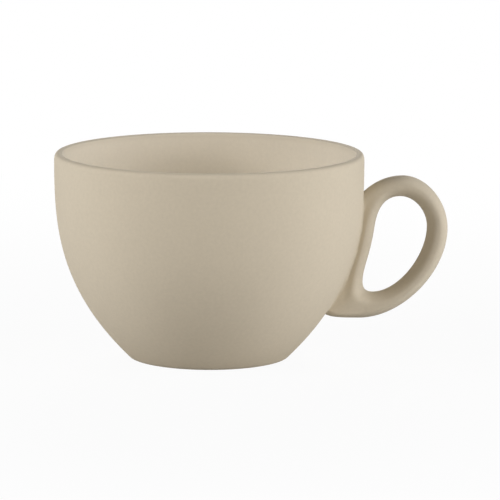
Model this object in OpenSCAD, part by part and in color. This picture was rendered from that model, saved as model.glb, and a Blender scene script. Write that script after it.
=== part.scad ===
// Breakfast cup: a round bowl on a small foot with one closed ear-shaped handle.
// The bowl and the ear are clay, stuck together with slip and then glazed all over,
// apart from the ring that touches the table.
// Millimetres. The bowl's axis is Z, the table is z = 0 and the handle points along +X.
// Every outside size is the finished one, with its glaze.

/* [Bowl] */
// Widest diameter, just under the lip
bowl_d = 110; // [98:1:126]
// Height from the table to the top of the lip
cup_h = 73; // [68:0.1:84]
// Thickness of the lip, and of the wall just under it
wall_t = 3.2; // [2.4:0.1:4]
// How far below its top the lip starts to round off
lip_h = 2.8; // [1.6:0.1:4]
// How far the top of the lip lies in from its outside
lip_crest = 1.4; // [1:0.1:2]
// Thickness of the wall where it turns into the floor
wall_low_t = 4.4; // [3.2:0.1:5.5]
// Thickness of the floor at its middle
floor_t = 4.2; // [3:0.1:6]
// Slope of the wall where it leaves the foot, in degrees from the table
foot_slope = 44.5; // [36:0.5:52]
// How far the wall keeps the slope it leaves the foot with
foot_pull = 36; // [28:0.1:42]
// How far the wall keeps upright below the lip
lip_pull = 22.1; // [15:0.1:30]
// Height on the wall where the inside starts to turn into the floor
floor_turn_z = 11; // [9:0.5:16]
// How far the inside keeps the slope of the wall as it turns into the floor
floor_turn_pull = 8; // [5:0.5:11]
// How far from its middle the floor keeps level
floor_flat_pull = 20; // [10:0.5:26]

/* [Foot] */
// Outside diameter of the ring that touches the table
foot_d = 56.4; // [48:0.1:64]
// Width of that ring
foot_w = 3; // [2:0.1:5]
// Radius of the foot's outside edge
foot_edge_r = 0.6; // [0.4:0.1:1.6]
// Height of the recess inside the foot
recess_h = 2.4; // [1.2:0.1:3.5]
// How far round the foot's two edges the clay is left bare, in degrees
bare_turn = 15; // [8:1:25]

/* [Coats] */
// Thickness of the glaze
glaze_t = 0.25; // [0.15:0.05:0.4]
// Thickness of the slip between the handle and the wall
slip_t = 0.5; // [0.3:0.05:0.9]

/* [Handle] */
// How far the top of the handle lies below the top of the lip
handle_drop = 8; // [5:0.5:12]
// Height of the handle
handle_h = 51.2; // [46:0.1:54]
// How far the handle reaches out from the bowl's widest radius
handle_reach = 29.8; // [25:0.1:36]
// Thickness of the loop, seen from the side
band_t = 7.4; // [5.5:0.1:9]
// Width of the loop, seen from its end
band_w = 8; // [6:0.1:11]
// Thickness of the loop at its lowest point, where it runs into the wall
base_t = 9.3; // [7:0.1:12]
// How far the rib along the wall stands off it
rib_t = 5.1; // [4:0.1:7]
// Width of the rib along the wall
rib_w = 5.8; // [5:0.1:8]
// How far the rib spreads to each side where it meets the wall
rib_flare = 1.2; // [0.4:0.1:2]
// How far off the wall that spread starts
flare_h = 2.4; // [1:0.1:4]

/* [Handle curve] */
// How far the top of the loop lies out from the bowl's widest radius
peak_out = 13.7; // [10:0.1:17]
// How far the loop's farthest point lies below its top
far_drop = 19; // [15:0.1:24]
// How far the lowest point of the loop lies in from the bowl's widest radius
low_in = 1.5; // [0:0.1:5]
// How far the finger hole's top lies in from the top of the loop
hole_peak_in = 0.8; // [0:0.1:2]
// How far the finger hole's lowest point lies out from the bowl's widest radius
hole_low_out = 3.4; // [1.5:0.1:6]
// How much higher the finger hole's farthest point lies than the loop's
hole_far_rise = 0.9; // [0:0.1:3]
// How far the rib's upper end lies below the top of the finger hole
rib_top_drop = 11.6; // [9:0.1:14]
// How far the rib's lower end lies above the bottom of the finger hole
rib_low_rise = 13.2; // [11:0.1:16]
// How far the neck's outer edge keeps the slope of the wall as it leaves the rib
neck_up_pull = 11.4; // [8:0.1:14]
// How far the neck's outer edge keeps level as it comes to the top of the loop
neck_in_pull = 9.2; // [6:0.1:12]
// How far the finger hole keeps the slope of the wall above the rib
hole_up_pull = 3; // [1:0.1:6]
// How far the finger hole keeps level as it comes to its top
hole_in_pull = 8.1; // [5:0.1:11]
// Fullness of the loop's upper quarter: 0.55 is a true ellipse
crown_fullness = 0.52; // [0.45:0.01:0.65]
// Fullness of the loop's lower quarter
sweep_fullness = 0.49; // [0.42:0.01:0.6]
// Fullness of the finger hole's lower quarter
hole_fullness = 0.46; // [0.4:0.01:0.58]
// How far the underside of the loop keeps level as it runs to the wall
base_pull = 20; // [15:0.1:24]
// How far the end of the rib keeps the slope of the wall, inside the wall
heel_pull = 23; // [19:0.1:27]
// How far the finger hole's lower corner keeps level
corner_pull = 4.2; // [2.5:0.1:5.5]
// How far the rib keeps the slope of the wall on its way down to that corner
corner_up_pull = 9; // [6:0.1:12]

/* [Hidden] */

clay_colour = [0.80, 0.73, 0.62];
slip_colour = [0.72, 0.65, 0.54];
glaze_colour = [0.77, 0.73, 0.65];

// Straight steps along each curve of a profile or an outline
wall_steps = 44;
floor_steps = 20;
lip_steps = 20;
edge_steps = 6;
rib_steps = 8;
neck_steps = 10;
crown_steps = 11;
sweep_steps = 15;
base_steps = 16;
// Sides of the loop's section
section_sides = 20;
// Points at which the wall's height is looked up
wall_marks = 200;

bowl_r = bowl_d / 2;
foot_r = foot_d / 2;
foot_in_r = foot_r - foot_w;
floor_z = recess_h + floor_t;

// Curves in a plane: a point on a cubic curve, and the way the curve runs there
function curve(p, t) =
    pow(1 - t, 3) * p[0] + 3 * pow(1 - t, 2) * t * p[1] + 3 * (1 - t) * t * t * p[2] + pow(t, 3) * p[3];
function slope(p, t) =
    pow(1 - t, 2) * (p[1] - p[0]) + 2 * (1 - t) * t * (p[2] - p[1]) + t * t * (p[3] - p[2]);
function unit(v) = v / norm(v);
function right_of(v) = [v[1], -v[0]];
function quarter(from, to, fullness, level_first) = let (step = to - from)
    level_first
    ? [from, from + [fullness * step[0], 0], to - [0, fullness * step[1]], to]
    : [from, from + [0, fullness * step[1]], to - [fullness * step[0], 0], to];
function steps(count) = [for (i = [0 : count]) i / count];
function smooth(t) = t * t * (3 - 2 * t);
function reversed(list) = [for (i = [len(list) - 1 : -1 : 0]) list[i]];

// Outside of the wall, from the foot's edge to the lip
foot_top = [foot_r + foot_edge_r * sin(foot_slope), foot_edge_r * (1 - cos(foot_slope))];
lip_foot = [bowl_r, cup_h - lip_h];
wall_curve = [
    foot_top,
    foot_top + foot_pull * [cos(foot_slope), sin(foot_slope)],
    lip_foot - [0, lip_pull],
    lip_foot
];
wall_places = [for (t = steps(wall_marks)) [curve(wall_curve, t)[1], t]];
function wall_place(z) = lookup(z, wall_places);
function wall_at(z) = curve(wall_curve, wall_place(z));
function wall_run(z) = unit(slope(wall_curve, wall_place(z)));
function wall_out(z) = right_of(wall_run(z));

// Skin lines are lists of points, each with the direction that leads out of the clay
function arc_skin(centre, r, from, to, count, out) =
    [for (t = steps(count)) let (a = from + (to - from) * t, d = [cos(a), sin(a)]) [centre + r * d, out * d]];
function quarter_skin(centre, half, from, count) =
    [for (t = steps(count)) let (c = cos(from + 90 * t), s = sin(from + 90 * t))
        [centre + [half[0] * c, half[1] * s], unit([half[1] * c, half[0] * s])]];
function curve_skin(p, count, out) =
    [for (t = steps(count)) [curve(p, t), out * right_of(unit(slope(p, t)))]];
function line_of(skin, depth) = [for (s = skin) s[0] - depth * s[1]];

foot_edge_centre = [foot_r, foot_edge_r];
bare_edge_skin = arc_skin(foot_edge_centre, foot_edge_r, -90, bare_turn - 90, edge_steps, 1);
foot_edge_skin = arc_skin(foot_edge_centre, foot_edge_r, bare_turn - 90, foot_slope - 90, edge_steps, 1);
wall_skin = curve_skin(wall_curve, wall_steps, 1);
lip_centre = [bowl_r - lip_crest, cup_h - lip_h];
lip_out_skin = quarter_skin(lip_centre, [lip_crest, lip_h], 0, lip_steps);
lip_in_skin = quarter_skin(lip_centre, [wall_t - lip_crest, lip_h], 90, lip_steps);

// Inside: the wall, thicker towards the foot, then the turn into the floor
turn_place = wall_place(floor_turn_z);
inner_wall_skin = [for (u = steps(wall_steps))
    let (t = 1 - u * (1 - turn_place),
        out = right_of(unit(slope(wall_curve, t))),
        thick = wall_t + (wall_low_t - wall_t) * u)
    [curve(wall_curve, t) - thick * out, -out]];
turn_point = inner_wall_skin[wall_steps][0];
floor_curve = [
    turn_point,
    turn_point - floor_turn_pull * wall_run(floor_turn_z),
    [floor_flat_pull, floor_z],
    [0, floor_z]
];
floor_skin = curve_skin(floor_curve, floor_steps, 1);

// Recess inside the foot: a round corner and a level ceiling
recess_centre = [foot_in_r - recess_h, 0];
bare_recess_skin = arc_skin(recess_centre, recess_h, bare_turn, 0, edge_steps, -1);
recess_skin = concat(
    [[[0, recess_h], [0, -1]]],
    arc_skin(recess_centre, recess_h, 90, bare_turn, edge_steps, -1)
);

outside_skin = concat(foot_edge_skin, wall_skin, lip_out_skin);
inside_skin = concat(lip_in_skin, inner_wall_skin, floor_skin);

// The handle's outlines, seen from the side: its outer edge and the edge of the finger hole
top_z = cup_h - handle_drop;
low_z = top_z - handle_h;
peak = [bowl_r + peak_out, top_z];
far = [bowl_r + handle_reach, top_z - far_drop];
low = [bowl_r - low_in, low_z];
hole_peak = peak - [hole_peak_in, band_t];
hole_far = far + [-band_t, hole_far_rise];
hole_low = [bowl_r + hole_low_out, low_z + base_t];
rib_top_z = hole_peak[1] - rib_top_drop;
rib_low_z = hole_low[1] + rib_low_rise;

function rib_at(z, off) = wall_at(z) + off * wall_out(z);
function neck_curve(end, off, slope_pull, level_pull) = [
    rib_at(rib_top_z, off),
    rib_at(rib_top_z, off) + slope_pull * wall_run(rib_top_z),
    end - [level_pull, 0],
    end
];
function base_curve(start, off, level_pull, slope_pull) = [
    start,
    start - [level_pull, 0],
    rib_at(rib_low_z, off) - slope_pull * wall_run(rib_low_z),
    rib_at(rib_low_z, off)
];

// Each station across the loop has its place on the hole's edge, on the outer edge, and its width
function stretch(count, hole_edge, outer_edge, from_w, to_w) =
    [for (i = [0 : count - 1]) let (t = i / count)
        [curve(hole_edge, t), curve(outer_edge, t), from_w + (to_w - from_w) * smooth(t)]];
rib_stations = [for (i = [0 : rib_steps - 1])
    let (z = rib_low_z + (rib_top_z - rib_low_z) * i / rib_steps)
    [rib_at(z, rib_t), rib_at(z, -rib_t), rib_w]];
stations = concat(
    rib_stations,
    stretch(neck_steps, neck_curve(hole_peak, rib_t, hole_up_pull, hole_in_pull),
        neck_curve(peak, -rib_t, neck_up_pull, neck_in_pull), rib_w, band_w),
    stretch(crown_steps, quarter(hole_peak, hole_far, crown_fullness, true),
        quarter(peak, far, crown_fullness, true), band_w, band_w),
    stretch(sweep_steps, quarter(hole_far, hole_low, hole_fullness, false),
        quarter(far, low, sweep_fullness, false), band_w, band_w),
    stretch(base_steps, base_curve(hole_low, rib_t, corner_pull, corner_up_pull),
        base_curve(low, -rib_t, base_pull, heel_pull), band_w, rib_w)
);

// Sections are ellipses that spread as they come to the wall
function off_wall(p) = (p[0] - wall_at(p[1])[0]) * wall_out(p[1])[0];
function spread(p) = pow(max(0, 1 - max(0, off_wall(p)) / flare_h), 2) * rib_flare / (rib_w / 2);
function section(station, depth) =
    let (middle = (station[0] + station[1]) / 2,
        half = (station[1] - station[0]) / 2,
        half_t = half - depth * unit(half),
        half_w = station[2] / 2 - depth)
    [for (i = [0 : section_sides - 1])
        let (a = 360 * i / section_sides, p = middle - half_t * cos(a))
        [p[0], half_w * (1 + spread(p)) * sin(a), p[1]]];

// The whole loop as a closed ring, drawn in by a depth on every side
module ring(depth) {
    sides = section_sides;
    rings = len(stations);
    points = [for (s = stations) each section(s, depth)];
    function corner(i, j) = (i % rings) * sides + j % sides;
    faces = [for (i = [0 : rings - 1], j = [0 : sides - 1]) each [
        [corner(i, j), corner(i + 1, j), corner(i + 1, j + 1)],
        [corner(i, j), corner(i + 1, j + 1), corner(i, j + 1)]
    ]];
    polyhedron(points, faces);
}

module turned(points) {
    rotate_extrude($fn = 180) polygon(points);
}

// The bowl's outside as one full solid, drawn in by a depth
module full_bowl(depth) {
    turned(concat([[0, depth]], line_of(outside_skin, depth), [[0, cup_h - depth]]));
}

// One coat of glaze on a skin line
module coat(skin) {
    color(glaze_colour) turned(concat(line_of(skin, 0), reversed(line_of(skin, glaze_t))));
}

module cup_body() {
    color(clay_colour) turned(concat(
        line_of(recess_skin, glaze_t),
        line_of(bare_recess_skin, 0),
        line_of(bare_edge_skin, 0),
        line_of(outside_skin, glaze_t),
        line_of(inside_skin, glaze_t)
    ));
}

module handle() {
    color(clay_colour) difference() {
        ring(glaze_t);
        full_bowl(glaze_t - slip_t);
    }
}

module handle_slip() {
    color(slip_colour) intersection() {
        ring(0);
        difference() {
            full_bowl(glaze_t - slip_t);
            full_bowl(glaze_t);
        }
    }
}

module glaze_outside() {
    color(glaze_colour) difference() {
        coat(outside_skin);
        ring(0);
    }
}

module glaze_inside() {
    coat(inside_skin);
}

module glaze_handle() {
    color(glaze_colour) difference() {
        ring(0);
        ring(glaze_t);
        full_bowl(glaze_t - slip_t);
    }
}

module glaze_base() {
    coat(recess_skin);
}

cup_body();
handle();
handle_slip();
glaze_outside();
glaze_inside();
glaze_handle();
glaze_base();
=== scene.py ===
"""Dresses the solids of a breakfast cup: glazed bowl, ear handle, slip seam and bare foot."""

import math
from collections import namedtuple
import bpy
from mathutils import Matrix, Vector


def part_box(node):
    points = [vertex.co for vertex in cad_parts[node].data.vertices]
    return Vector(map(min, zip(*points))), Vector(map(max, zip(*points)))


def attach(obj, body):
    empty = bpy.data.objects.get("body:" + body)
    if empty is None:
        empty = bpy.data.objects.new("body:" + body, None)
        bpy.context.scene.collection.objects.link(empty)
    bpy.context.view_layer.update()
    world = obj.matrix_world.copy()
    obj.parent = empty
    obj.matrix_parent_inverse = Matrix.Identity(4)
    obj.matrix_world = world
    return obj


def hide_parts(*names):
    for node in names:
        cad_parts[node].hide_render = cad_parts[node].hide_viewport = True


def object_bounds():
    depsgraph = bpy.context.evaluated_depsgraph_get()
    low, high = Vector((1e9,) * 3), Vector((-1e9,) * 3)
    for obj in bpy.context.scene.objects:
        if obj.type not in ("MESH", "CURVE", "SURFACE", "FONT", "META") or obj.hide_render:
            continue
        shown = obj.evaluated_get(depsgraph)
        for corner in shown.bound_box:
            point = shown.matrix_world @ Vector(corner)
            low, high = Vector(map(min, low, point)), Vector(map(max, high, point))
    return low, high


bl_info = {
    "name": "Breakfast cup",
    "version": (1, 0, 0),
    "blender": (4, 5, 0),
    "location": "View3D > Sidebar > Cup",
    "description": "Builds a glazed breakfast cup around its solids, with a studio stage",
    "category": "Add Mesh",
}

import bmesh
import bpy
import numpy as np
from bpy.props import FloatProperty, FloatVectorProperty, IntProperty, PointerProperty
from mathutils import Quaternion, Vector

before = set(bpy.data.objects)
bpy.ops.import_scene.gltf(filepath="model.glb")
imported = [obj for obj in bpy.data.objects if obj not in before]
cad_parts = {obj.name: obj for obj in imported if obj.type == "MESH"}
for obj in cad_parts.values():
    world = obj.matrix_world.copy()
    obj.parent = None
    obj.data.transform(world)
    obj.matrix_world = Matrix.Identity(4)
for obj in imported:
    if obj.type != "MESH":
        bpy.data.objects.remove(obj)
CAD_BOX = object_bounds()
BOWL_LOW, BOWL_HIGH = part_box("glaze_outside")
HANDLE_LOW, HANDLE_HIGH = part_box("glaze_handle")
MM = 0.001

# Points along the stretches of the skin lines
FOOT_POINTS = 9
WALL_POINTS = 90
LIP_POINTS = 25
INSIDE_POINTS = 80
FLOOR_POINTS = 48
CEILING_POINTS = 20
CORNER_POINTS = 12

# Points across half a section of the loop, as worked out and as kept, and along and across its seam
SECTION_POINTS = 241
RING_POINTS = 53
ROOT_POINTS = 480
FILLET_POINTS = 11

# Edges that bend more than this look sharp, and points closer than this are one
SHARP_BEND = math.radians(50)
WELD = 1e-6


def length(name, description, millimetres):
    """A size in metres, given in millimetres."""
    return FloatProperty(
        name=name, description=description, default=millimetres * MM, unit="LENGTH", precision=5)


def angle(name, description, degrees):
    """An angle, given in degrees."""
    return FloatProperty(
        name=name, description=description, default=math.radians(degrees), unit="ROTATION")


def share(name, description, value):
    """A number from 0 to 1."""
    return FloatProperty(
        name=name, description=description, default=value, min=0, max=1, subtype="FACTOR")


def colour(name, description, value):
    """A plain colour, in linear light."""
    return FloatVectorProperty(
        name=name, description=description, default=value, size=3, min=0, max=1, subtype="COLOR")


class BowlSizes(bpy.types.PropertyGroup):
    """Sizes of the bowl and its foot, all over the glaze."""

    diameter: FloatProperty(
        name="Diameter", description="Widest diameter, just under the lip",
        default=BOWL_HIGH.y - BOWL_LOW.y, unit="LENGTH", precision=5)
    height: FloatProperty(
        name="Height", description="From the table to the top of the lip",
        default=BOWL_HIGH.z, unit="LENGTH", precision=5)
    lip: length("Lip", "Thickness of the lip, and of the wall just under it", 3.2)
    lip_height: length("Lip height", "How far below its top the lip starts to round off", 2.8)
    lip_crest: length("Lip crest", "How far the top of the lip lies in from its outside", 1.7)
    lip_outer_square: FloatProperty(
        name="Lip outer square",
        description="How square the lip's outside is, from 2 for an ellipse upwards",
        default=2.6, min=2)
    lip_inner_square: FloatProperty(
        name="Lip inner square",
        description="How square the lip's inside is, from 2 for an ellipse upwards",
        default=4.5, min=2)
    # The lip break sets the width of the darker band at the top of the lip, which is thin glaze and
    # painted shade
    lip_break_and_shade: length("Lip break and shade", "How far down from the top of the lip its glaze is thin", 0.5)
    # The lip thin share is painted shade round the inside of the lip
    lip_painted_shade: share("Lip painted shade", "How thin the glaze stays round the inside of the lip", 0.5)
    low_wall: length("Low wall", "Thickness of the wall where it turns into the floor", 4.4)
    floor: length("Floor", "Thickness of the floor at its middle", 4.2)
    foot_slope: angle("Foot slope", "Slope of the wall where it leaves the foot", 44.5)
    foot_pull: length("Foot pull", "How far the wall keeps the slope it leaves the foot with", 36)
    lip_pull: length("Lip pull", "How far the wall keeps upright below the lip", 22.1)
    turn_height: length("Turn height", "Height on the wall where the inside turns into the floor", 11)
    turn_pull: length("Turn pull", "How far the inside keeps the wall's slope in that turn", 8)
    flat_pull: length("Flat pull", "How far from its middle the floor keeps level", 20)
    foot_diameter: length("Foot diameter", "Outside diameter of the ring that touches the table", 56.4)
    foot_width: length("Foot width", "Width of that ring", 3)
    foot_edge: length("Foot edge", "Radius of the foot's outside edge", 0.6)
    recess: length("Recess", "Height of the recess inside the foot", 2.4)
    bare_turn: angle("Bare turn", "How far round the foot's two edges the clay is left bare", 15)
    glaze: length("Glaze", "Thickness of the glaze", 0.25)
    segments: IntProperty(name="Segments", description="Steps round the bowl", default=224, min=24)


class HandleSizes(bpy.types.PropertyGroup):
    """Sizes of the ear handle and of the slip seam at its root, all over the glaze."""

    reach: FloatProperty(
        name="Reach", description="Farthest point of the loop from the bowl's axis",
        default=HANDLE_HIGH.x, unit="LENGTH", precision=5)
    top: FloatProperty(
        name="Top", description="Height of the top of the loop",
        default=HANDLE_HIGH.z, unit="LENGTH", precision=5)
    low: FloatProperty(
        name="Low", description="Height of the lowest point of the loop",
        default=HANDLE_LOW.z, unit="LENGTH", precision=5)
    band: length("Band", "Thickness of the loop, seen from the side", 7.4)
    width: length("Width", "Width of the loop, seen from its end", 8)
    base: length("Base", "Thickness of the loop at its lowest point", 9.3)
    rib: length("Rib", "How far the rib along the wall stands off it", 5.1)
    rib_width: length("Rib width", "Width of the rib along the wall", 5.8)
    peak_out: length("Peak out", "Top of the loop, out from the bowl's widest radius", 13.7)
    far_drop: length("Far drop", "Farthest point of the loop, below its top", 19)
    low_in: length("Low in", "Lowest point of the loop, in from the bowl's widest radius", 1.5)
    hole_peak_in: length("Hole peak in", "Top of the hole, in from the top of the loop", 0.8)
    hole_low_out: length("Hole low out", "Lowest point of the hole, out from the widest radius", 3.4)
    hole_far_rise: length("Hole far rise", "Farthest point of the hole, above the loop's", 0.9)
    rib_top_drop: length("Rib top drop", "Upper end of the rib, below the top of the hole", 11.6)
    rib_low_rise: length("Rib low rise", "Lower end of the rib, above the bottom of the hole", 13.2)
    neck_up_pull: length("Neck up pull", "How far the neck's outer edge keeps the wall's slope", 11.4)
    neck_in_pull: length("Neck in pull", "How far the neck's outer edge keeps level at the top", 9.2)
    hole_up_pull: length("Hole up pull", "How far the hole keeps the wall's slope above the rib", 3)
    hole_in_pull: length("Hole in pull", "How far the hole keeps level as it comes to its top", 8.1)
    base_pull: length("Base pull", "How far the underside keeps level on its way to the wall", 20)
    heel_pull: length("Heel pull", "How far the heel keeps the slope of the wall, inside it", 23)
    corner_pull: length("Corner pull", "How far the hole's lower corner keeps level", 4.2)
    corner_up_pull: length("Corner up pull", "How far the rib keeps the wall's slope to that corner", 9)
    crown_fullness: share("Crown fullness", "Fullness of the loop's upper quarter", 0.52)
    sweep_fullness: share("Sweep fullness", "Fullness of the loop's lower quarter", 0.49)
    hole_fullness: share("Hole fullness", "Fullness of the hole's lower quarter", 0.46)
    facet: angle("Facet", "Slope of the faces that lead from the hole's edge to the loop's sides", 54)
    facet_run: length("Facet run", "How far those faces reach from the hole's edge", 4.2)
    hole_edge: length("Hole edge", "Radius of the hole's edge", 0.9)
    shoulder: length("Shoulder", "Softness of the turn from those faces to the loop's sides", 0.7)
    wedge: share("Wedge", "How far the loop keeps those faces at its top and base, and isn't round", 0.4)
    outer_round: length("Outer round", "Radius of the loop's outer edge", 3.1)
    base_spread: length("Base spread", "How far each side of the base stands out over the loop's", 1.2)
    root_flare: length("Root flare", "How far each side swells from the base to the lower root", 0.7)
    waist: share("Waist", "Width of the root where it meets the wall, as a share of its full width", 0.7)
    waist_run: length("Waist run", "How far the root takes to narrow to that", 5)
    bury: length("Bury", "How deep the root is sunk into the wall, out of sight", 1)
    seam: length("Seam", "Radius of the slip seam at the ends of the root", 0.6)
    rib_seam: length("Rib seam", "Radius of the slip seam along the rib", 1.9)


class GlazeLook(bpy.types.PropertyGroup):
    """Colours and finish of the glaze and of the bare clay."""

    glaze: colour("Glaze", "Colour of the glaze on the outside", (0.573, 0.506, 0.390))
    # The inside glaze colour is the outside glaze painted lighter, as painted light inside the bowl
    inner_glaze: colour("Inner glaze", "Colour of the glaze on the inside", (0.626, 0.567, 0.461))
    # The thin glaze colour is darker: thin glaze at the foot and the lip, and painted shade on the lip
    thin_glaze_and_shade: colour("Thin glaze and shade", "Colour of the glaze on edges, thin", (0.472, 0.412, 0.317))
    clay: colour("Clay", "Colour of the bare fired clay", (0.62, 0.52, 0.39))
    grog: colour("Grog", "Colour of the coarse grains in the clay", (0.42, 0.33, 0.235))
    roughness: share("Roughness", "Roughness of the glaze", 0.85)
    gloss: share("Gloss", "Specular level of the glaze", 0.03)
    cloud: share("Cloud", "Strength of the broad clouds in the glaze", 0.05)
    grain: share("Grain", "Strength of the fine grain on the outside", 0.12)
    inner_grain: share("Inner grain", "Strength of the fine grain on the inside", 0.11)


class StageLook(bpy.types.PropertyGroup):
    """Camera, lamps and floor."""

    distance: length("Distance", "Camera to its target", 1297.7)
    elevation: angle("Elevation", "Camera above the table", 9.471)
    roll: angle("Roll", "Turn of the camera about its view", 0.256)
    lens: FloatProperty(
        name="Lens", description="Focal length in millimetres", default=262.4, unit="CAMERA")
    target_x: length("Target X", "Target of the camera, out along the handle", 14.56)
    target_z: length("Target Z", "Target of the camera, above the table", 37.93)
    top_power: FloatProperty(
        name="Top power", description="Power of the narrow lamp over the bowl", default=28, unit="POWER")
    top_beam: angle("Top beam", "Width of that lamp's beam, which fades out at the lip", 5.4)
    sky: share("Sky", "Strength of the even light from all round", 0.03)
    paper: share("Paper", "Share of the floor that shows as plain white close to the cup", 0.94)


# Curves in the plane of the bowl's radius and height

def curve(points, t):
    """Points on a cubic curve."""
    t = np.asarray(t, float)[..., None]
    a, b, c, d = (np.asarray(p, float) for p in points)
    return (1 - t) ** 3 * a + 3 * (1 - t) ** 2 * t * b + 3 * (1 - t) * t ** 2 * c + t ** 3 * d


def curve_run(points, t):
    """The way that a cubic curve runs, as unit vectors."""
    t = np.asarray(t, float)[..., None]
    a, b, c, d = (np.asarray(p, float) for p in points)
    return unit((1 - t) ** 2 * (b - a) + 2 * (1 - t) * t * (c - b) + t ** 2 * (d - c))


def unit(vectors):
    """Vectors scaled to length 1."""
    return vectors / np.linalg.norm(vectors, axis=-1, keepdims=True)


def right_of(runs):
    """What lies to the right of a direction in the plane."""
    return np.stack([runs[..., 1], -runs[..., 0]], axis=-1)


def quarter(start, end, fullness, level_first):
    """A quarter round from one extreme of an outline to the next."""
    step = end - start
    across, up = np.array([step[0], 0]), np.array([0, step[1]])
    first, last = (across, up) if level_first else (up, across)
    return start, start + fullness * first, end - fullness * last, end


def signed_power(values, power):
    """Values raised to a power, with their signs kept."""
    return np.sign(values) * np.abs(values) ** power


def smooth(t):
    """Eases from 0 to 1."""
    t = np.clip(t, 0, 1)
    return t * t * (3 - 2 * t)


# The bowl's wall

def wall_curve(bowl):
    """Outside of the wall, from the foot's edge to the lip."""
    foot = np.array([
        bowl.foot_diameter / 2 + bowl.foot_edge * math.sin(bowl.foot_slope),
        bowl.foot_edge * (1 - math.cos(bowl.foot_slope))])
    lip = np.array([bowl.diameter / 2, bowl.height - bowl.lip_height])
    slope = np.array([math.cos(bowl.foot_slope), math.sin(bowl.foot_slope)])
    return foot, foot + bowl.foot_pull * slope, lip - [0, bowl.lip_pull], lip


def wall_place(bowl, heights):
    """Where the wall's curve passes some heights, from 0 at the foot to 1 at the lip."""
    fine_steps = 2001
    marks = np.linspace(0, 1, fine_steps)
    return np.interp(heights, curve(wall_curve(bowl), marks)[:, 1], marks)


def beside_wall(bowl, heights, off):
    """Points some way off the wall at some heights, and the way that the wall runs there."""
    wall = wall_curve(bowl)
    place = wall_place(bowl, heights)
    run = curve_run(wall, place)
    return curve(wall, place) + off * right_of(run), run


def off_wall(bowl, points):
    """How far points lie off the outside of the wall, and the direction out of it there."""
    radius = np.hypot(points[..., 0], points[..., 1])
    flat = np.stack([radius, points[..., 2]], axis=-1)
    wall = wall_curve(bowl)
    place = wall_place(bowl, flat[..., 1])
    nudge = 1e-4
    # A few steps bring each point to its nearest place on the wall
    tries = 6
    for _ in range(tries):
        here = curve(wall, place)
        speed = (curve(wall, place + nudge) - here) / nudge
        place = np.clip(place + np.sum((flat - here) * speed, -1) / np.sum(speed ** 2, -1), 0, 1)
    out = right_of(curve_run(wall, place))
    off = np.sum((flat - curve(wall, place)) * out, axis=-1)
    around = points[..., :2] / radius[..., None]
    return off, np.concatenate([around * out[..., :1], out[..., 1:]], axis=-1)


# Skin lines: points on the finished surface, with the direction out of the clay at each

def arc_skin(centre, radius, start, end, count, out=1):
    """A round stretch of a skin line."""
    turns = np.linspace(start, end, count)
    spokes = np.stack([np.cos(turns), np.sin(turns)], axis=-1)
    return np.asarray(centre) + radius * spokes, out * spokes


def lip_skin(bowl, width, start, square):
    """A quarter of the lip's round, of some width and squareness, from a starting angle."""
    turns = np.linspace(start, start + math.pi / 2, LIP_POINTS)
    flat = signed_power(np.cos(turns), 2 / square)
    tall = signed_power(np.sin(turns), 2 / square)
    centre = np.array([bowl.diameter / 2 - bowl.lip_crest, bowl.height - bowl.lip_height])
    points = centre + np.stack([width * flat, bowl.lip_height * tall], axis=-1)
    sideways = bowl.lip_height * signed_power(flat, square - 1)
    upwards = width * signed_power(tall, square - 1)
    return points, unit(np.stack([sideways, upwards], axis=-1))


def joined(*stretches):
    """Stretches of a skin line, end to end, with shared ends kept once."""
    points = np.concatenate([stretches[0][0]] + [s[0][1:] for s in stretches[1:]])
    outs = np.concatenate([stretches[0][1]] + [s[1][1:] for s in stretches[1:]])
    return points, outs


def outside_skin(bowl):
    """From the foot's glazed edge up the wall to the top of the lip."""
    bottom = -math.pi / 2
    edge_centre = (bowl.foot_diameter / 2, bowl.foot_edge)
    edge = arc_skin(
        edge_centre, bowl.foot_edge, bottom + bowl.bare_turn, bottom + bowl.foot_slope, FOOT_POINTS)
    marks = np.linspace(0, 1, WALL_POINTS)
    wall = wall_curve(bowl)
    side = curve(wall, marks), right_of(curve_run(wall, marks))
    return joined(edge, side, lip_skin(bowl, bowl.lip_crest, 0, bowl.lip_outer_square))


def inside_skin(bowl):
    """From the top of the lip down the inside to the middle of the floor."""
    wall = wall_curve(bowl)
    down = np.linspace(0, 1, INSIDE_POINTS)
    marks = 1 - down * (1 - wall_place(bowl, bowl.turn_height))
    runs = curve_run(wall, marks)
    thick = (bowl.lip + (bowl.low_wall - bowl.lip) * down)[:, None]
    side = curve(wall, marks) - thick * right_of(runs), -right_of(runs)
    middle = np.array([0, bowl.recess + bowl.floor])
    turn = side[0][-1]
    floor_curve = turn, turn - bowl.turn_pull * runs[-1], middle + [bowl.flat_pull, 0], middle
    marks = np.linspace(0, 1, FLOOR_POINTS)
    floor = curve(floor_curve, marks), right_of(curve_run(floor_curve, marks))
    lip = lip_skin(bowl, bowl.lip - bowl.lip_crest, math.pi / 2, bowl.lip_inner_square)
    return joined(lip, side, floor)


def base_skin(bowl):
    """From the middle of the recess under the foot to the glazed edge of its corner."""
    corner_centre = (bowl.foot_diameter / 2 - bowl.foot_width - bowl.recess, 0)
    corner = arc_skin(corner_centre, bowl.recess, math.pi / 2, bowl.bare_turn, CORNER_POINTS, out=-1)
    across = np.linspace(0, 1, CEILING_POINTS)[:, None] * [corner_centre[0], 0] + [0, bowl.recess]
    ceiling = across, np.tile([0.0, -1.0], (len(across), 1))
    return joined(ceiling, corner)


# Node helpers

def add(tree, kind, inputs=None, **options):
    """Adds a node, sets its options and feeds its inputs with values or with other nodes' outputs."""
    node = tree.nodes.new(kind)
    for option, value in options.items():
        setattr(node, option, value)
    for key, value in (inputs or {}).items():
        if isinstance(value, bpy.types.NodeSocket):
            tree.links.new(value, node.inputs[key])
        else:
            node.inputs[key].default_value = value
    return node


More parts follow.
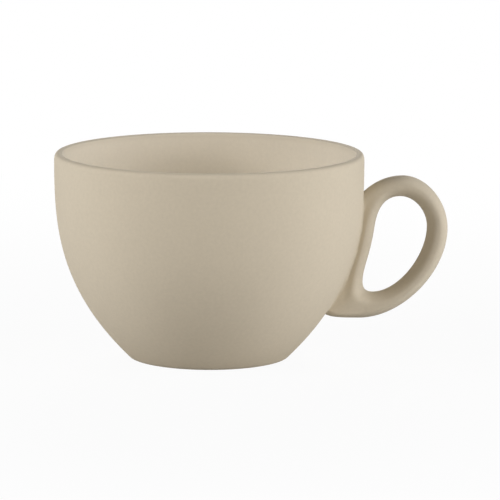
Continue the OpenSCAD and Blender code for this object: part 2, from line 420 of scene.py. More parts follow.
def number(tree, operation, *values):
    """One step of arithmetic in a node tree."""
    return add(tree, "ShaderNodeMath", dict(enumerate(values)), operation=operation).outputs[0]


def scaled(tree, vector, factor):
    """A vector or colour times a number."""
    node = add(tree, "ShaderNodeVectorMath", {0: vector, "Scale": factor}, operation="SCALE")
    return node.outputs[0]


def mixed(tree, factor, first, second):
    """Two colours mixed. Inputs 6 and 7 and output 2 of a Mix node are its colours."""
    node = add(tree, "ShaderNodeMix", {"Factor": factor, 6: first, 7: second}, data_type="RGBA")
    return node.outputs[2]


def new_group(name, kind, inputs, outputs):
    """A node group with named sockets. Returns it with its input and output nodes."""
    tree = bpy.data.node_groups.new(name, kind)
    for in_out, sockets in (("INPUT", inputs), ("OUTPUT", outputs)):
        for socket_name, socket_type in sockets:
            tree.interface.new_socket(socket_name, in_out=in_out, socket_type=socket_type)
    return tree, tree.nodes.new("NodeGroupInput").outputs, tree.nodes.new("NodeGroupOutput").inputs


# Turning: a skin line swept round the bowl's axis into a closed coat

def turning_tree():
    """The tree that turns a skin line into a coat with its own thickness."""
    tree, given, made = new_group(
        "Turned coat", "GeometryNodeTree",
        (("Skin line", "NodeSocketGeometry"), ("Thickness", "NodeSocketFloat"),
         ("Segments", "NodeSocketInt"), ("Finish", "NodeSocketMaterial")),
        (("Coat", "NodeSocketGeometry"),))
    tree.is_modifier = True
    line = given["Skin line"]
    # The rows of the grid run up the line, back along its underside and close on the first
    count = add(tree, "GeometryNodeAttributeDomainSize", {"Geometry": line}).outputs["Point Count"]
    twice = number(tree, "MULTIPLY", count, 2)
    rows = number(tree, "ADD", twice, 1)
    columns = number(tree, "ADD", given["Segments"], 1)
    grid = add(tree, "GeometryNodeMeshGrid", {"Vertices X": columns, "Vertices Y": rows}).outputs["Mesh"]

    index = tree.nodes.new("GeometryNodeInputIndex").outputs["Index"]
    row = number(tree, "MODULO", number(tree, "MODULO", index, rows), twice)
    column = number(tree, "FLOOR", number(tree, "DIVIDE", index, rows))
    under = number(tree, "GREATER_THAN", row, number(tree, "SUBTRACT", count, 0.5))
    mirrored = number(tree, "SUBTRACT", number(tree, "SUBTRACT", twice, 1), row)
    place = add(tree, "ShaderNodeMix", {"Factor": under, "A": row, "B": mirrored}).outputs[0]

    def on_line(field, data_type):
        """A field of the skin line, at each point's place on it."""
        return add(
            tree, "GeometryNodeSampleIndex", {"Geometry": line, "Value": field, "Index": place},
            data_type=data_type).outputs["Value"]

    def stored(name, data_type):
        """An attribute that the skin line carries."""
        node = add(tree, "GeometryNodeInputNamedAttribute", {"Name": name}, data_type=data_type)
        return node.outputs["Attribute"]

    position = on_line(tree.nodes.new("GeometryNodeInputPosition").outputs["Position"], "FLOAT_VECTOR")
    out = on_line(stored("out", "FLOAT_VECTOR"), "FLOAT_VECTOR")
    thin = on_line(stored("thin", "FLOAT"), "FLOAT")
    depth = number(tree, "MULTIPLY", number(tree, "MULTIPLY", under, given["Thickness"]), -1)
    profile = add(
        tree, "ShaderNodeVectorMath", {0: position, 1: scaled(tree, out, depth)},
        operation="ADD").outputs[0]
    turn = number(tree, "MULTIPLY", number(tree, "DIVIDE", column, given["Segments"]), math.tau)
    turned = add(
        tree, "ShaderNodeVectorRotate", {"Vector": profile, "Angle": turn},
        rotation_type="Z_AXIS").outputs[0]

    shell = add(tree, "GeometryNodeSetPosition", {"Geometry": grid, "Position": turned}).outputs[0]
    shell = add(
        tree, "GeometryNodeStoreNamedAttribute", {"Geometry": shell, "Name": "thin", "Value": thin},
        data_type="FLOAT", domain="POINT").outputs[0]
    shell = add(tree, "GeometryNodeMergeByDistance", {"Geometry": shell, "Distance": WELD}).outputs[0]
    shell = add(tree, "GeometryNodeSetShadeSmooth", {"Geometry": shell, "Shade Smooth": True}).outputs[0]
    bend = tree.nodes.new("GeometryNodeInputMeshEdgeAngle").outputs["Unsigned Angle"]
    edge = number(tree, "GREATER_THAN", bend, SHARP_BEND)
    shell = add(
        tree, "GeometryNodeSetShadeSmooth",
        {"Geometry": shell, "Selection": edge, "Shade Smooth": False}, domain="EDGE").outputs[0]
    shell = add(tree, "GeometryNodeRealizeInstances", {"Geometry": shell}).outputs[0]
    shell = add(
        tree, "GeometryNodeSetMaterial", {"Geometry": shell, "Material": given["Finish"]}).outputs[0]
    tree.links.new(shell, made["Coat"])
    return tree


def turned_coat(name, skin, thin, bowl, finish):
    """One coat of glaze, turned from its skin line. Thin says where the coat takes the darker thin
    colour, from 0 to 1: thin glaze at the foot and the top of the lip, and painted shade on and inside
    the lip.
    """
    points, outs = skin
    line = bpy.data.meshes.new(name)
    steps = [(i, i + 1) for i in range(len(points) - 1)]
    line.from_pydata([(r, 0, z) for r, z in points], steps, [])
    upright = np.insert(outs, 1, 0, axis=1).astype(np.float32)
    line.attributes.new("out", "FLOAT_VECTOR", "POINT").data.foreach_set("vector", upright.ravel())
    line.attributes.new("thin", "FLOAT", "POINT").data.foreach_set("value", thin.astype(np.float32))
    piece = linked(name, line)
    tree = bpy.data.node_groups.get("Turned coat") or turning_tree()
    modifier = piece.modifiers.new("Turned coat", "NODES")
    modifier.node_group = tree
    inputs = [item for item in tree.interface.items_tree if item.in_out == "INPUT"]
    sockets = {item.name: item.identifier for item in inputs}
    modifier[sockets["Thickness"]] = bowl.glaze
    modifier[sockets["Segments"]] = bowl.segments
    modifier[sockets["Finish"]] = finish
    evaluated = piece.evaluated_get(bpy.context.evaluated_depsgraph_get())
    mesh = bpy.data.meshes.new_from_object(evaluated)
    piece.modifiers.clear()
    piece.data = mesh
    bpy.data.meshes.remove(line)
    mesh.name = name
    # Set Material leaves the first slot empty
    mesh.materials.pop(index=0)
    face_outwards(mesh)
    return piece


# Meshes

def linked(name, mesh):
    """A new object in the scene."""
    piece = bpy.data.objects.new(name, mesh)
    bpy.context.scene.collection.objects.link(piece)
    return piece


def face_outwards(mesh):
    """Turns every face of a closed mesh outwards."""
    work = bmesh.new()
    work.from_mesh(mesh)
    bmesh.ops.recalc_face_normals(work, faces=work.faces)
    work.to_mesh(mesh)
    work.free()


def ring_mesh(name, rings):
    """A closed mesh from rings of points, each ring joined to the next and the last to the first."""
    count, sides = rings.shape[:2]
    first = np.arange(count)[:, None] * sides
    after = np.roll(first, -1, axis=0)
    here = np.arange(sides)[None, :]
    beside = np.roll(here, -1, axis=1)
    corners = [first + here, after + here, after + beside, first + beside]
    faces = np.stack(corners, axis=-1).reshape(-1, 4)
    mesh = bpy.data.meshes.new(name)
    mesh.from_pydata(rings.reshape(-1, 3).tolist(), [], faces.tolist())
    face_outwards(mesh)
    mesh.shade_smooth()
    return mesh


def mark_sharp(mesh, limit):
    """Marks the edges whose faces meet at more than a limit as sharp."""
    work = bmesh.new()
    work.from_mesh(mesh)
    for edge in work.edges:
        edge.smooth = edge.calc_face_angle(0) < limit
    work.to_mesh(mesh)
    work.free()


def settle(piece, slot, *nodes):
    """Puts a finished piece in the place of its solids: hangs it under the root and hides them. The slot
    is not used.
    """
    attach(piece, "root")
    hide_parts(*nodes)


# The handle

Stretch = namedtuple("Stretch", "count hole_edge outer_edge first_shape last_shape swell")

# Waves that make the slip seam a little uneven: how many round it, how strong and how far turned
SEAM_WAVES = ((5, 0.06, 0.7), (11, 0.05, 2.1), (23, 0.04, 0.0))

# How far the hidden back of the seam lies under the surface, as a share of its radius
SEAM_BACK = 0.3


def swelling(t):
    """Swells from 0 to 1, two fifths of the way along, and back to 0."""
    return 12.5 * t ** 1.5 * (1 - t) ** 2.25


def rib_heights(handle):
    """Heights of the lower and the upper end of the rib."""
    return np.array([
        handle.low + handle.base + handle.rib_low_rise,
        handle.top - handle.band - handle.rib_top_drop])


def loop_stations(bowl, handle):
    """Sections of the loop, from its base up the rib, over its top and down to its base again.

    Each has its points on the hole's edge and on the outer edge, and its shape: half its width,
    how far it is a wedge and not a rod, and how far it narrows to a waist.
    """
    radius = bowl.diameter / 2
    peak = np.array([radius + handle.peak_out, handle.top])
    far = np.array([handle.reach, handle.top - handle.far_drop])
    low = np.array([radius - handle.low_in, handle.low])
    hole_peak = peak - [handle.hole_peak_in, handle.band]
    hole_far = far + [-handle.band, handle.hole_far_rise]
    hole_low = np.array([radius + handle.hole_low_out, handle.low + handle.base])
    rib_ends = rib_heights(handle)

    def neck(end, off, slope_pull, level_pull):
        """From the rib's upper end to the top of the loop or of the hole."""
        start, run = beside_wall(bowl, rib_ends[1], off)
        return start, start + slope_pull * run, end - [level_pull, 0], end

    def base(start, off, level_pull, slope_pull):
        """From the lowest point of the loop or of the hole to the rib's lower end."""
        end, run = beside_wall(bowl, rib_ends[0], off)
        return start, start - [level_pull, 0], end - slope_pull * run, end

    rib, half_rib, half_band = handle.rib, handle.rib_width / 2, handle.width / 2
    crown, sweep, hole_sweep = handle.crown_fullness, handle.sweep_fullness, handle.hole_fullness
    rooted, free = np.array([half_rib, 0, 1]), np.array([half_band, 1, 0])
    turning, plain = np.array([half_band, handle.wedge, 0]), np.zeros(3)
    spread = np.array([handle.root_flare, (1 - handle.wedge) / 2, 0])
    low_turn = turning + [handle.base_spread, 0, 0]
    # The second stretch follows the wall, so it has no curves of its own
    stretches = (
        Stretch(
            160, base(hole_low, rib, handle.corner_pull, handle.corner_up_pull),
            base(low, -rib, handle.base_pull, handle.heel_pull), low_turn, rooted, spread),
        Stretch(60, None, None, rooted, rooted, plain),
        Stretch(
            100, neck(hole_peak, rib, handle.hole_up_pull, handle.hole_in_pull),
            neck(peak, -rib, handle.neck_up_pull, handle.neck_in_pull), rooted, turning, plain),
        Stretch(
            80, quarter(hole_peak, hole_far, crown, True),
            quarter(peak, far, crown, True), turning, free, plain),
        Stretch(
            110, quarter(hole_far, hole_low, hole_sweep, False),
            quarter(far, low, sweep, False), free, low_turn, plain),
    )
    hole, outer, shape = [], [], []
    for stretch in stretches:
        t = np.linspace(0, 1, stretch.count, endpoint=False)
        if stretch.hole_edge is None:
            heights = rib_ends[0] + (rib_ends[1] - rib_ends[0]) * t
            hole.append(beside_wall(bowl, heights, rib)[0])
            outer.append(beside_wall(bowl, heights, -rib)[0])
        else:
            hole.append(curve(stretch.hole_edge, t))
            outer.append(curve(stretch.outer_edge, t))
        change = np.outer(smooth(t), stretch.last_shape - stretch.first_shape)
        shape.append(stretch.first_shape + change + np.outer(swelling(t), stretch.swell))
    return np.concatenate(hole), np.concatenate(outer), np.concatenate(shape)


def loop_halves(bowl, handle):
    """The near half of each section of the loop, finely, from the hole's edge to the outer edge."""
    hole, outer, shape = loop_stations(bowl, handle)
    half_width, wedge, waist = shape.T[..., None]
    across = np.linalg.norm(outer - hole, axis=-1)[:, None]
    turns = np.linspace(0, math.pi, SECTION_POINTS)[None, :]
    along = across / 2 * (1 - np.cos(turns))

    def rounded(distance, radius):
        """How far a quarter round has risen at a distance from its edge, from 0 to 1."""
        return np.sqrt(1 - (1 - np.clip(distance / radius, 0, 1)) ** 2)

    edge, soft = handle.hole_edge, handle.shoulder
    facet_start = edge * (1 - math.sin(handle.facet))
    facet = edge * math.cos(handle.facet) + math.tan(handle.facet) * (along - facet_start)
    ramp = np.where(along < facet_start, edge * rounded(along, edge), facet)
    wedged = np.maximum(-soft * np.logaddexp(-ramp / soft, -half_width / soft), 0)
    rod = half_width * rounded(along, half_width)
    side = (wedge * wedged + (1 - wedge) * rod) * rounded(across - along, handle.outer_round)
    full = wedge * handle.facet_run + (1 - wedge) * half_width
    narrowed = smooth((along - full) / (handle.waist_run * (1 + wedge) / 2))
    side *= 1 - (1 - handle.waist) * waist ** 2 * narrowed
    flat = hole[:, None] + (along / across)[..., None] * (outer - hole)[:, None]
    return np.stack([flat[..., 0], -side, flat[..., 1]], axis=-1)


def loop_rings(bowl, handle):
    """Closed rings of points for the loop, closest together where it enters the wall."""
    halves = loop_halves(bowl, handle)
    off, out = off_wall(bowl, halves)
    sunk = np.minimum(off + handle.bury, 0)
    halves = halves - sunk[..., None] * out
    # Points are shared out by weight: few where the loop is sunk, more where it shows, most at the wall
    sunk_weight, shown_weight, wall_weight = 0.35, 0.65, 2.2
    wall_reach = 1.2 * handle.seam
    at_wall = np.exp(-(off / wall_reach) ** 2)
    weight = sunk_weight + wall_weight * at_wall + np.where(sunk < 0, 0, shown_weight)
    steps = np.linalg.norm(np.diff(halves, axis=1), axis=-1) * (weight[:, 1:] + weight[:, :-1]) / 2
    reach = np.insert(np.cumsum(steps, axis=1), 0, 0, axis=1)
    picks = np.linspace(0, 1, RING_POINTS)
    near = np.empty((len(halves), len(picks), 3))
    for ring, half, measure in zip(near, halves, reach):
        for axis in range(3):
            ring[:, axis] = np.interp(picks * measure[-1], measure, half[:, axis])
    far = near[:, -2:0:-1] * [1, -1, 1]
    return np.concatenate([near, far], axis=1)


def root_line(bowl, handle):
    """The closed line where the loop enters the wall, with the direction out of the loop along it."""
    halves = loop_halves(bowl, handle)
    off, _ = off_wall(bowl, halves)
    ahead = np.roll(halves, -1, axis=0) - np.roll(halves, 1, axis=0)
    outs = unit(np.cross(np.gradient(halves, axis=1), ahead))
    centre = (halves[:, :1] + halves[:, -1:]) / 2
    outs *= np.sign(np.sum(outs * (halves - centre)))
    entered = off < 0
    rooted = np.flatnonzero(entered.any(axis=1))
    points, directions = [], []
    for station in rooted:
        after = np.argmax(entered[station])
        before = after - 1
        part = off[station, before] / (off[station, before] - off[station, after])
        for found, field in ((points, halves), (directions, outs)):
            found.append(field[station, before] * (1 - part) + field[station, after] * part)
    first, last = rooted[0], rooted[-1]
    points = np.array([halves[first, -1], *points, halves[last, -1]])
    directions = np.array([outs[first, -1], *directions, outs[last, -1]])
    flip = np.array([1, -1, 1])
    points = np.concatenate([points, points[-2:0:-1] * flip])
    directions = np.concatenate([directions, directions[-2:0:-1] * flip])
    return evened(points, directions, ROOT_POINTS)


def evened(points, directions, count):
    """A closed line again, with even steps, eased a little."""
    points = np.concatenate([points, points[:1]])
    directions = np.concatenate([directions, directions[:1]])
    reach = np.insert(np.cumsum(np.linalg.norm(np.diff(points, axis=0), axis=1)), 0, 0)
    picks = np.linspace(0, reach[-1], count, endpoint=False)
    both = [np.stack([np.interp(picks, reach, field[:, axis]) for axis in range(3)], axis=-1)
            for field in (points, directions)]
    easings = 4
    for _ in range(easings):
        both = [(np.roll(f, 1, axis=0) + 2 * f + np.roll(f, -1, axis=0)) / 4 for f in both]
    return both[0], unit(both[1])


def seam_rings(bowl, handle):
    """Rings of points for the seam, a hollow fillet from the wall to the loop, closed out of sight."""
    corner, loop_out = root_line(bowl, handle)
    off, wall_out = off_wall(bowl, corner)
    corner = corner - off[:, None] * wall_out
    lean = np.sum(loop_out * wall_out, axis=-1, keepdims=True)
    along_wall = unit(loop_out - lean * wall_out)
    along_loop = unit(wall_out - lean * loop_out)
    turns = np.linspace(0, math.tau, len(corner), endpoint=False)[:, None]
    uneven = 1 + sum(strength * np.sin(count * turns + turned) for count, strength, turned in SEAM_WAVES)
    height, (rib_low, rib_top) = corner[:, 2:], rib_heights(handle)
    beside_rib = smooth((height - handle.low) / (rib_low - handle.low))
    hole_top = handle.top - handle.band
    beside_rib *= smooth((hole_top - height) / (hole_top - rib_top))
    radius = (handle.seam + (handle.rib_seam - handle.seam) * beside_rib) * uneven
    on_wall = corner + radius * along_wall
    on_loop = corner + radius * along_loop
    rise, _ = off_wall(bowl, on_wall)
    on_wall = on_wall - rise[:, None] * wall_out
    rows = []
    for t in np.linspace(0, 1, FILLET_POINTS):
        rows.append((1 - t) ** 2 * on_wall + 2 * (1 - t) * t * corner + t ** 2 * on_loop)
    under = SEAM_BACK * handle.seam
    rows.append(on_loop - under * loop_out)
    rows.append(corner - under * (wall_out + loop_out))
    rows.append(on_wall - under * wall_out)
    return np.stack(rows, axis=1)


# Finishes

def satin_glaze_group():
    """Colour, roughness and fine relief of a satin-matt glaze, which takes a darker colour where Thin is
    set: glaze breaking on thin edges, and painted shade on the lip.
    """
    tree, given, made = new_group(
        "Satin glaze", "ShaderNodeTree",
        (("Vector", "NodeSocketVector"), ("Glaze", "NodeSocketColor"), ("Thin glaze and shade", "NodeSocketColor"),
         ("Thin", "NodeSocketFloat"), ("Roughness", "NodeSocketFloat"), ("Cloud", "NodeSocketFloat"),
         ("Grain", "NodeSocketFloat")),
        (("Colour", "NodeSocketColor"), ("Roughness", "NodeSocketFloat"), ("Relief", "NodeSocketFloat")))

    def noise(per_metre, detail):
        """A noise about 0, with so many features to a metre."""
        node = add(tree, "ShaderNodeTexNoise", {
            "Vector": given["Vector"], "Scale": per_metre, "Detail": detail, "Roughness": 0.55})
        return number(tree, "SUBTRACT", node.outputs["Fac"], 0.5)

    cloud = noise(per_metre=38, detail=3)
    grain = noise(per_metre=900, detail=3)
    tooth = noise(per_metre=3600, detail=2)
    cloudy = number(tree, "MULTIPLY", cloud, given["Cloud"])
    grainy = number(tree, "MULTIPLY", grain, given["Grain"])
    tone = number(tree, "ADD", number(tree, "ADD", cloudy, grainy), 1)
    # The darker thin colour, thin glaze and painted shade alike, comes and goes with the grain
    thin_share, thin_swing = 0.75, 0.8
    patchy = number(tree, "MULTIPLY_ADD", grain, thin_swing, thin_share)
    broken = number(tree, "MULTIPLY", patchy, given["Thin"])
    base = mixed(tree, broken, given["Glaze"], given["Thin glaze and shade"])
    tree.links.new(scaled(tree, base, tone), made["Colour"])
    # The roughness follows the grain, and the clouds a little
    rough_by_grain, rough_by_cloud = 0.16, 0.06
    rough = number(tree, "MULTIPLY_ADD", grain, rough_by_grain, given["Roughness"])
    rough = number(tree, "MULTIPLY_ADD", cloud, rough_by_cloud, rough)
    tree.links.new(rough, made["Roughness"])
    # The relief is mostly grain, with a finer tooth on it
    grain_share, tooth_share = 0.65, 0.35
    toothed = number(tree, "MULTIPLY", tooth, tooth_share)
    relief = number(tree, "MULTIPLY_ADD", grain, grain_share, toothed)
    tree.links.new(relief, made["Relief"])
    return tree


def new_material(name):
    """A material with its nodes, its Principled shader and its object coordinates."""
    material = bpy.data.materials.new(name)
    material.use_nodes = True
    tree = material.node_tree
    shader = tree.nodes["Principled BSDF"]
    place = tree.nodes.new("ShaderNodeTexCoord").outputs["Object"]
    return material, tree, shader, place


def glaze_material(name, look, glaze_colour, grain):
    """The satin-matt glaze of one part of the cup."""
    found = bpy.data.materials.get(name)
    if found:
        return found
    material, tree, shader, place = new_material(name)
    # The thin attribute marks thin glaze, and painted shade on and inside the lip
    thin = add(tree, "ShaderNodeAttribute", attribute_name="thin").outputs["Fac"]
    group = bpy.data.node_groups.get("Satin glaze") or satin_glaze_group()
    glaze = add(tree, "ShaderNodeGroup", node_tree=group)
    values = {
        "Glaze": (*glaze_colour, 1), "Thin glaze and shade": (*look.thin_glaze_and_shade, 1),
        "Roughness": look.roughness, "Cloud": look.cloud, "Grain": grain}
    for socket, value in values.items():
        glaze.inputs[socket].default_value = value
    tree.links.new(place, glaze.inputs["Vector"])
    tree.links.new(thin, glaze.inputs["Thin"])
    bump = add(tree, "ShaderNodeBump", {
        "Height": glaze.outputs["Relief"], "Strength": 0.35, "Distance": 0.06 * MM})
    tree.links.new(glaze.outputs["Colour"], shader.inputs["Base Color"])
    tree.links.new(glaze.outputs["Roughness"], shader.inputs["Roughness"])
    tree.links.new(bump.outputs["Normal"], shader.inputs["Normal"])
    shader.inputs["Specular IOR Level"].default_value = look.gloss
    return material


def outside_glaze(look):
    """The glaze on the outside of the bowl, under its foot, on the handle and on the seam."""
    return glaze_material("sand_glaze_outside", look, look.glaze, look.grain)


def inside_glaze(look):
    """The glaze on the inside of the bowl, its colour painted lighter than the outside glaze as painted
    light inside the bowl.
    """
    return glaze_material("sand_glaze_inside_painted_light", look, look.inner_glaze, look.inner_grain)


def thin_and_shaded_places(bowl, heights, inside):
    """Where a coat takes the darker thin colour, from 0 to 1: thin glaze at the top of the lip and at
    the foot, with painted shade at the top of the lip and inside the lip.
    """
    # The crest is thin glaze on the lip's edge, and painted shade on the lip's top as well
    crest = np.exp(-((heights - bowl.height) / bowl.lip_break_and_shade) ** 2)
    foot = np.exp(-(heights / bowl.foot_edge) ** 2)
    thin = np.maximum(crest, foot)
    # Painted shade round the inside of the lip, in the darker thin colour
    if inside:
        lip = smooth((heights - bowl.height) / bowl.lip_height + 1)
        thin = np.maximum(thin, bowl.lip_painted_shade * lip)
    return thin


def clay_material(look):
    """Bare fired clay with coarse grains in it."""
    material, tree, shader, place = new_material("fired_clay")
    body = add(tree, "ShaderNodeTexNoise", {
        "Vector": place, "Scale": 1500, "Detail": 4, "Roughness": 0.6})
    grains = add(tree, "ShaderNodeTexVoronoi", {"Vector": place, "Scale": 1100, "Randomness": 1})
    grog = add(tree, "ShaderNodeMapRange", {
        "Value": grains.outputs["Distance"], "From Min": 0.12, "From Max": 0.3,
        "To Min": 0.55, "To Max": 0})
    base = mixed(tree, grog.outputs["Result"], (*look.clay, 1), (*look.grog, 1))
    least_tone, tone_swing = 0.88, 0.24
    tone = number(tree, "MULTIPLY_ADD", body.outputs["Fac"], tone_swing, least_tone)
    tree.links.new(scaled(tree, base, tone), shader.inputs["Base Color"])
    least_rough, rough_swing = 0.82, 0.12
    rough = number(tree, "MULTIPLY_ADD", body.outputs["Fac"], rough_swing, least_rough)
    tree.links.new(rough, shader.inputs["Roughness"])
    bump = add(tree, "ShaderNodeBump", {
        "Height": body.outputs["Fac"], "Strength": 0.5, "Distance": 0.08 * MM})
    tree.links.new(bump.outputs["Normal"], shader.inputs["Normal"])
    shader.inputs["Specular IOR Level"].default_value = 0.25
    return material


# The stage

# Lamps, with angles in degrees, lengths in metres and power in watts
Lamp = namedtuple("Lamp", "name azimuth elevation distance width height power colour")
LAMPS = (
    Lamp("left_softbox", -72, 21, 1.2, 0.9, 0.45, 11.7, (1.0, 1.0, 1.03)),
    Lamp("right_softbox", 71, 17, 1.2, 1.0, 0.6, 12.2, (1.0, 1.01, 1.06)),
    Lamp("front_fill", 12, 22, 1.2, 0.6, 0.3, 2.6, (1.0, 0.93, 0.82)),
    Lamp("back_softbox", 180, 22, 1.2, 0.5, 0.4, 7.0, (1.0, 1.0, 1.0)),
)
TOP_LAMP_HEIGHT = 1.2
TOP_LAMP_RADIUS = 0.02
TOP_LAMP_COLOUR = (1.0, 1.01, 1.05)

# The floor, which fades to plain white between two distances from its middle
FLOOR_RADIUS = 6
FADE_START = 0.10
FADE_END = 0.45
FLOOR_GREY = (0.6, 0.6, 0.6, 1)
WHITE = (1, 1, 1, 1)


def aim(obj, place, target, roll=0.0):
    """Puts a lamp or camera in place and turns it to its target."""
    obj.location = place
    turn = (Vector(target) - Vector(place)).to_track_quat("-Z", "Y")
    obj.rotation_mode = "QUATERNION"
    obj.rotation_quaternion = turn @ Quaternion((0, 0, 1), roll)


def around(target, azimuth, elevation, distance):
    """A point round a target. Azimuth 0 is in front, and counts up to the right."""
    level = distance * math.cos(elevation)
    side = math.sin(azimuth) * level, -math.cos(azimuth) * level, distance * math.sin(elevation)
    return Vector(target) + Vector(side)


def make_camera(look):
    """The camera at the photograph's angle."""
    data = bpy.data.cameras.new("camera")
    data.lens = look.lens
    data.sensor_width = 36
    data.clip_start, data.clip_end = 0.01, 50
    camera = bpy.data.objects.new("camera", data)
    bpy.context.scene.collection.objects.link(camera)
    target = (look.target_x, 0, look.target_z)
    aim(camera, around(target, 0, look.elevation, look.distance), target, look.roll)
    bpy.context.scene.camera = camera


def make_lamps():
    """Soft lamps round the cup."""
    middle = (CAD_BOX[0] + CAD_BOX[1]) / 2
    for lamp in LAMPS:
        data = bpy.data.lights.new(lamp.name, "AREA")
        data.shape = "RECTANGLE"
        data.size, data.size_y = lamp.width, lamp.height
        data.energy = lamp.power
        data.color = lamp.colour
        obj = bpy.data.objects.new(lamp.name, data)
        bpy.context.scene.collection.objects.link(obj)
        place = around(middle, math.radians(lamp.azimuth), math.radians(lamp.elevation), lamp.distance)
        aim(obj, place, middle)


def make_top_lamp(look):
    """A narrow lamp over the bowl, which lights its inside and not its lip."""
    data = bpy.data.lights.new("top_lamp", "SPOT")
    data.energy = look.top_power
    data.spot_size = look.top_beam
    data.spot_blend = 1.0
    data.color = TOP_LAMP_COLOUR
    data.shadow_soft_size = TOP_LAMP_RADIUS
    obj = bpy.data.objects.new("top_lamp", data)
    bpy.context.scene.collection.objects.link(obj)
    aim(obj, (0, 0, TOP_LAMP_HEIGHT), (0, 0, 0))


def seen_plainly(tree):
    """1 for what the camera, a reflection or a refraction sees, and 0 for other light."""
    path = tree.nodes.new("ShaderNodeLightPath").outputs
    seen = number(tree, "MAXIMUM", path["Is Camera Ray"], path["Is Glossy Ray"])
    return number(tree, "MAXIMUM", seen, path["Is Transmission Ray"])


def make_sky(look):
    """Even light from all round, behind a plain white background."""
    world = bpy.data.worlds.new("sky")
    bpy.context.scene.world = world
    world.use_nodes = True
    tree = world.node_tree
    tree.nodes.clear()
    light = add(tree, "ShaderNodeBackground", {"Color": WHITE, "Strength": look.sky})
    white = add(tree, "ShaderNodeBackground", {"Color": WHITE, "Strength": 1.0})
    both = add(tree, "ShaderNodeMixShader", {
        0: seen_plainly(tree), 1: light.outputs[0], 2: white.outputs[0]})
    add(tree, "ShaderNodeOutputWorld", {"Surface": both.outputs[0]})


def make_floor(look):
    """A pale floor that fades to plain white away from the cup and keeps the cup's shadow."""
    mesh = bpy.data.meshes.new("floor")
    work = bmesh.new()
    bmesh.ops.create_circle(work, cap_ends=True, segments=96, radius=FLOOR_RADIUS)
    work.to_mesh(mesh)
    work.free()
    floor = linked("floor", mesh)
    material, tree, shader, place = new_material("pale_floor")
    shader.inputs["Base Color"].default_value = FLOOR_GREY
    shader.inputs["Roughness"].default_value = 0.8
    shader.inputs["Specular IOR Level"].default_value = 0.1
    away = add(tree, "ShaderNodeVectorMath", {0: place}, operation="LENGTH").outputs["Value"]
    fade = add(tree, "ShaderNodeMapRange", {
        "Value": away, "From Min": FADE_START, "From Max": FADE_END, "To Min": look.paper, "To Max": 1},
        interpolation_type="SMOOTHSTEP").outputs["Result"]
    white = add(tree, "ShaderNodeEmission", {"Color": WHITE, "Strength": 1.0})
    shown = number(tree, "MULTIPLY", fade, seen_plainly(tree))
    both = add(tree, "ShaderNodeMixShader", {0: shown, 1: shader.outputs[0], 2: white.outputs[0]})
    tree.links.new(both.outputs[0], tree.nodes["Material Output"].inputs["Surface"])
    mesh.materials.append(material)


# Operators

class CUP_OT_bare_clay(bpy.types.Operator):
    """Give the clay bowl its bare fired finish, which shows on the foot"""
    bl_idname = "cup.bare_clay"
    bl_label = "Bare clay"

    def execute(self, context):
        clay = clay_material(context.scene.cup_glaze)
        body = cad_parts["cup_body"]
        body.data.materials.clear()
        body.data.materials.append(clay)
        return {"FINISHED"}


class CUP_OT_glaze_coats(bpy.types.Operator):
    """Turn the coats of glaze on the outside, the inside and the recess of the foot"""
    bl_idname = "cup.glaze_coats"
    bl_label = "Glaze coats"

    def execute(self, context):
        bowl, look = context.scene.cup_bowl, context.scene.cup_glaze
        outer, inner = outside_glaze(look), inside_glaze(look)
        coats = (
            ("glaze_outside", outside_skin(bowl), outer, "outer_glaze"),
            ("glaze_inside", inside_skin(bowl), inner, "inner_glaze"),
            ("glaze_base", base_skin(bowl), outer, "outer_glaze"),
        )
        for node, skin, finish, slot in coats:
            heights = skin[0][:, 1]
            thin = thin_and_shaded_places(bowl, heights, inside=node == "glaze_inside")
            piece = turned_coat(node + "_coat", skin, thin, bowl, finish)
            settle(piece, slot, node)
        return {"FINISHED"}


class CUP_OT_handle(bpy.types.Operator):
    """Build the glazed ear handle"""
    bl_idname = "cup.handle"
    bl_label = "Handle"

    def execute(self, context):
        rings = loop_rings(context.scene.cup_bowl, context.scene.cup_handle)
        piece = linked("ear_handle", ring_mesh("ear_handle", rings))
        piece.data.materials.append(outside_glaze(context.scene.cup_glaze))
        settle(piece, "outer_glaze", "handle", "glaze_handle")
        return {"FINISHED"}


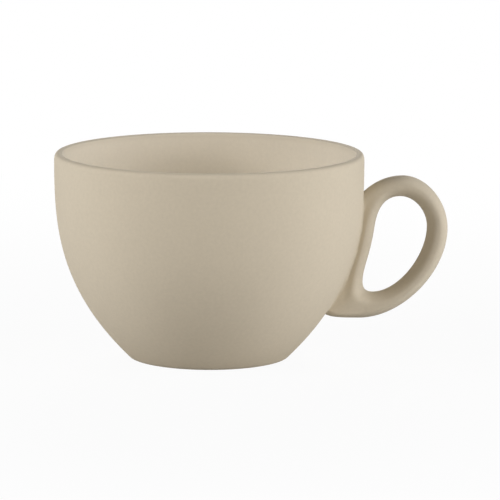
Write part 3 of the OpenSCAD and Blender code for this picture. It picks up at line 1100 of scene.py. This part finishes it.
class CUP_OT_slip_seam(bpy.types.Operator):
    """Build the slip seam round the root of the handle"""
    bl_idname = "cup.slip_seam"
    bl_label = "Slip seam"

    def execute(self, context):
        rings = seam_rings(context.scene.cup_bowl, context.scene.cup_handle)
        piece = linked("slip_seam", ring_mesh("slip_seam", rings))
        mark_sharp(piece.data, SHARP_BEND)
        piece.data.materials.append(outside_glaze(context.scene.cup_glaze))
        settle(piece, "outer_glaze", "handle_slip")
        return {"FINISHED"}


class CUP_OT_stage(bpy.types.Operator):
    """Set the camera, the lamps, the sky and the floor"""
    bl_idname = "cup.stage"
    bl_label = "Stage"

    def execute(self, context):
        look = context.scene.cup_stage
        context.scene.view_settings.view_transform = "Standard"
        make_camera(look)
        make_lamps()
        make_top_lamp(look)
        make_sky(look)
        make_floor(look)
        return {"FINISHED"}


GROUPS = {
    "cup_bowl": BowlSizes,
    "cup_handle": HandleSizes,
    "cup_glaze": GlazeLook,
    "cup_stage": StageLook,
}
OPERATORS = (CUP_OT_bare_clay, CUP_OT_glaze_coats, CUP_OT_handle, CUP_OT_slip_seam, CUP_OT_stage)


class CUP_PT_sidebar(bpy.types.Panel):
    """The cup's steps and sizes"""
    bl_idname = "CUP_PT_sidebar"
    bl_label = "Breakfast cup"
    bl_space_type = "VIEW_3D"
    bl_region_type = "UI"
    bl_category = "Cup"

    def draw(self, context):
        for operator in OPERATORS:
            self.layout.operator(operator.bl_idname)
        for group in GROUPS:
            box = self.layout.box()
            values = getattr(context.scene, group)
            for name in values.bl_rna.properties.keys():
                if name not in ("rna_type", "name"):
                    box.prop(values, name)


CLASSES = (*GROUPS.values(), *OPERATORS, CUP_PT_sidebar)


def register():
    """Registers the classes and gives the scene its values."""
    for cls in CLASSES:
        bpy.utils.register_class(cls)
    for name, group in GROUPS.items():
        setattr(bpy.types.Scene, name, PointerProperty(type=group))


def unregister():
    """Takes the values and the classes away again."""
    for name in GROUPS:
        delattr(bpy.types.Scene, name)
    for cls in reversed(CLASSES):
        bpy.utils.unregister_class(cls)


def main():
    """Builds the dressed cup on its stage."""
    register()
    bpy.ops.cup.stage()
    bpy.ops.cup.bare_clay()
    bpy.ops.cup.glaze_coats()
    bpy.ops.cup.handle()
    bpy.ops.cup.slip_seam()


if __name__ == "__main__":
    main()
